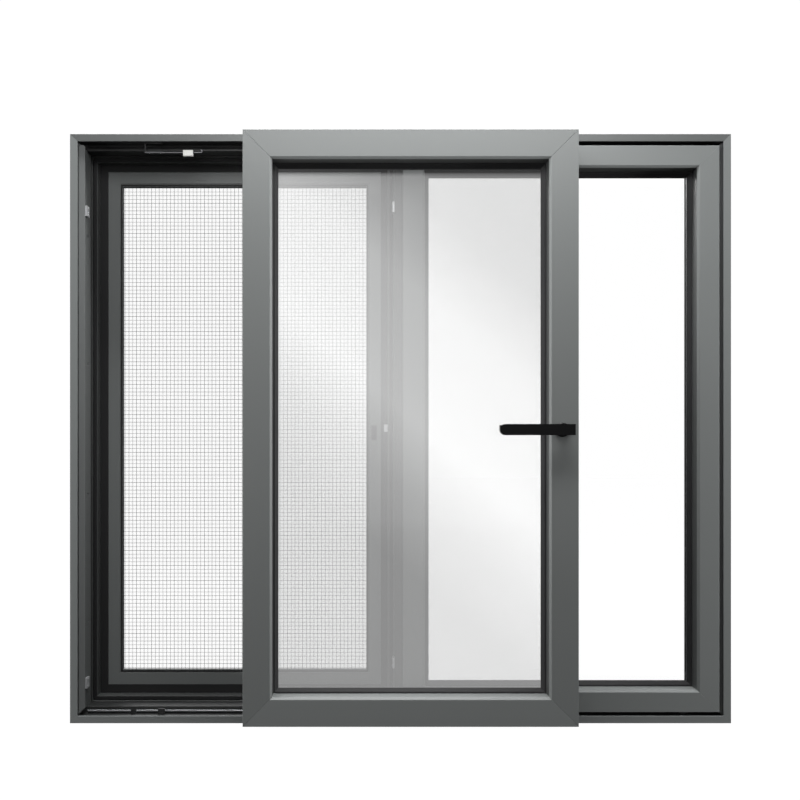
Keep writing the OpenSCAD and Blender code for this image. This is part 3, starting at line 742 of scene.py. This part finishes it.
def wires(across, along, turn, rise):
    """Rods along one direction, spaced along the other."""
    meshes = weave.maths("DIVIDE", across, inputs["Pitch"])
    count = weave.add("ShaderNodeMath", {"operation": "FLOOR"}, {0: meshes})
    step = weave.add("ShaderNodeCombineXYZ", {}, {"X" if turn == 0 else "Z": inputs["Pitch"]})
    line = weave.add("GeometryNodeMeshLine", {"mode": "OFFSET"}, {"Count": count, "Offset": step})
    third = weave.maths("LESS_THAN", weave.maths("MODULO", index, 3.0), 0.5)
    sixth = weave.maths("LESS_THAN", weave.maths("MODULO", index, 6.0), 0.5)
    stout = weave.maths("MULTIPLY", third, weave.maths("SUBTRACT", inputs["Stout"], inputs["Thin"]))
    more = weave.maths("MULTIPLY", sixth, weave.maths("SUBTRACT", inputs["Stouter"], inputs["Stout"]))
    thick = weave.maths("ADD", weave.maths("ADD", inputs["Thin"], stout), more)
    size = weave.add("ShaderNodeCombineXYZ", {}, {"X": thick, "Y": thick, "Z": along})
    laid = weave.add("GeometryNodeInstanceOnPoints", {},
                     {"Points": line, "Instance": rod, "Rotation": (0, turn, 0), "Scale": size})
    start = (mesh_low.x + PITCH / 2, rise, (mesh_low.z + mesh_high.z) / 2) if turn == 0 \
        else ((mesh_low.x + mesh_high.x) / 2, rise, mesh_low.z + PITCH / 2)
    return weave.add("GeometryNodeTransform", {}, {"Geometry": laid, "Translation": start})


middle = (mesh_low.y + mesh_high.y) / 2
quarter_turn = math.radians(90)
upright = wires(inputs["Width"], inputs["Height"], 0, middle - LAYER)
level = wires(inputs["Height"], inputs["Width"], quarter_turn, middle + LAYER)
both = weave.tree.nodes.new("GeometryNodeJoinGeometry")
weave.tree.links.new(upright, both.inputs[0])
weave.tree.links.new(level, both.inputs[0])
weave.finish(both.outputs[0], finishes["screen_wire"])
screen_wires = weave.grow("screen_wires", bpy.data.meshes.new("seed"))
finish(screen_wires, "screen_mesh")
print("screen:", len(screen_wires.data.polygons), "faces")

# %% [markdown]
# ## Screw heads
# The strike plates are held by small pan-head screws with a cross recess, and the catch by
# two rivets.  One screw is modelled once in a tree: a cone with a flat top, from which two
# crossed bars are cut, on a plain shank.

# %% One pan-head screw
HEAD_RADIUS, SHANK_RADIUS = 2.1 * MM, 1.15 * MM
FLAT_TOP, SLIT_LENGTH, SLIT_WIDTH = 0.62, 1.1, 0.24
screws = Layout("pan_heads", {"Radius": HEAD_RADIUS, "Height": 1.0 * MM, "Shank": 7.0 * MM})
inputs = {s.name: s for s in screws.start.outputs}
dome = screws.add("GeometryNodeMeshCone", {}, {"Vertices": 24, "Side Segments": 3, "Fill Segments": 1,
                  "Radius Top": screws.maths("MULTIPLY", inputs["Radius"], FLAT_TOP),
                  "Radius Bottom": inputs["Radius"], "Depth": inputs["Height"]})
slit_size = screws.add("ShaderNodeCombineXYZ", {}, {
    "X": screws.maths("MULTIPLY", inputs["Radius"], SLIT_LENGTH),
    "Y": screws.maths("MULTIPLY", inputs["Radius"], SLIT_WIDTH), "Z": inputs["Height"]})
slit = screws.add("GeometryNodeMeshCube", {}, {"Size": slit_size})
lift = screws.add("ShaderNodeCombineXYZ", {}, {"Z": screws.maths("MULTIPLY", inputs["Height"], 0.9)})
head = dome
for turn in (0, quarter_turn):
    bar = screws.add("GeometryNodeTransform", {}, {"Geometry": slit, "Translation": lift,
                     "Rotation": (0, 0, turn)})
    cut = screws.tree.nodes.new("GeometryNodeMeshBoolean")
    cut.operation = "DIFFERENCE"
    screws.tree.links.new(head, cut.inputs[0])
    screws.tree.links.new(bar, cut.inputs[1])
    head = cut.outputs[0]
drop = screws.add("ShaderNodeCombineXYZ", {}, {"Z": screws.maths("MULTIPLY", inputs["Shank"], -0.5)})
shank = screws.add("GeometryNodeTransform", {}, {"Translation": drop, "Geometry": screws.add(
    "GeometryNodeMeshCylinder", {}, {"Vertices": 12, "Radius": SHANK_RADIUS, "Depth": inputs["Shank"]})})
whole = screws.tree.nodes.new("GeometryNodeJoinGeometry")
screws.tree.links.new(head, whole.inputs[0])
screws.tree.links.new(shank, whole.inputs[0])
print("one screw takes", len(screws.tree.nodes), "nodes")

# %% [markdown]
# ## Where the screws go
# The CAD model has a plain pin with a wider end for each screw.  The pins are found as the
# loose solids of one mesh, and each one gives a place and a direction.

# %% Find the screws
HEAD_RIM = 1.8 * MM


def unit(axis):
    return Vector([1.0 if i == axis else 0.0 for i in range(3)])


def screw_end(points):
    """The seat of one screw's head, and the way that the head faces."""
    low = Vector([min(p[i] for p in points) for i in range(3)])
    high = Vector([max(p[i] for p in points) for i in range(3)])
    axis = max(range(3), key=lambda i: high[i] - low[i])
    centre = (low + high) / 2
    wide = [p for p in points if (p - centre - (p - centre)[axis] * unit(axis)).length > HEAD_RIM]
    side = 1 if sum(p[axis] for p in wide) / len(wide) > centre[axis] else -1
    seat = centre.copy()
    seat[axis] = min(p[axis] for p in wide) if side > 0 else max(p[axis] for p in wide)
    return seat, unit(axis) * side


def screw_places():
    """The seat and the direction of each screw of the CAD node, in a fixed order."""
    mesh = bmesh.new()
    mesh.from_mesh(nodes["frame_screws"].data)
    bmesh.ops.remove_doubles(mesh, verts=mesh.verts, dist=SAME_POINT)
    left = set(mesh.verts)
    places = []
    while left:
        stack = [left.pop()]
        solid = list(stack)
        while stack:
            for edge in stack.pop().link_edges:
                for vert in edge.verts:
                    if vert in left:
                        left.remove(vert)
                        stack.append(vert)
                        solid.append(vert)
        places.append(screw_end([v.co.copy() for v in solid]))
    mesh.free()
    return sorted(places, key=lambda place: tuple(place[0]))


places = screw_places()
print("screws at", [[round(v, 3) for v in seat] for seat, _ in places])

# %% [markdown]
# ## Copies on points
# A copy of the screw goes to each point of a tiny mesh that holds only the places.  The
# points also carry the directions, as a named attribute, and each copy is turned to its own.

# %% Set the screws
facing = screws.add("GeometryNodeInputNamedAttribute", {"data_type": "FLOAT_VECTOR"}, {"Name": "facing"})
aim = screws.add("FunctionNodeAlignRotationToVector", {"axis": "Z"}, {"Vector": facing})
placed = screws.add("GeometryNodeInstanceOnPoints", {}, {"Points": screws.start.outputs["Geometry"],
                    "Instance": whole.outputs[0], "Rotation": aim})
screws.finish(placed, finishes["zinc_steel"])
seeds = bpy.data.meshes.new("screw_seeds")
seeds.from_pydata([seat for seat, _ in places], [], [])
ways = seeds.attributes.new("facing", "FLOAT_VECTOR", "POINT")
ways.data.foreach_set("vector", [c for _, way in places for c in way])
screw_heads = screws.grow("strike_screws", seeds)
finish(screw_heads, "frame_screws")
print("screws:", len(places), "with", len(screw_heads.data.polygons), "faces")
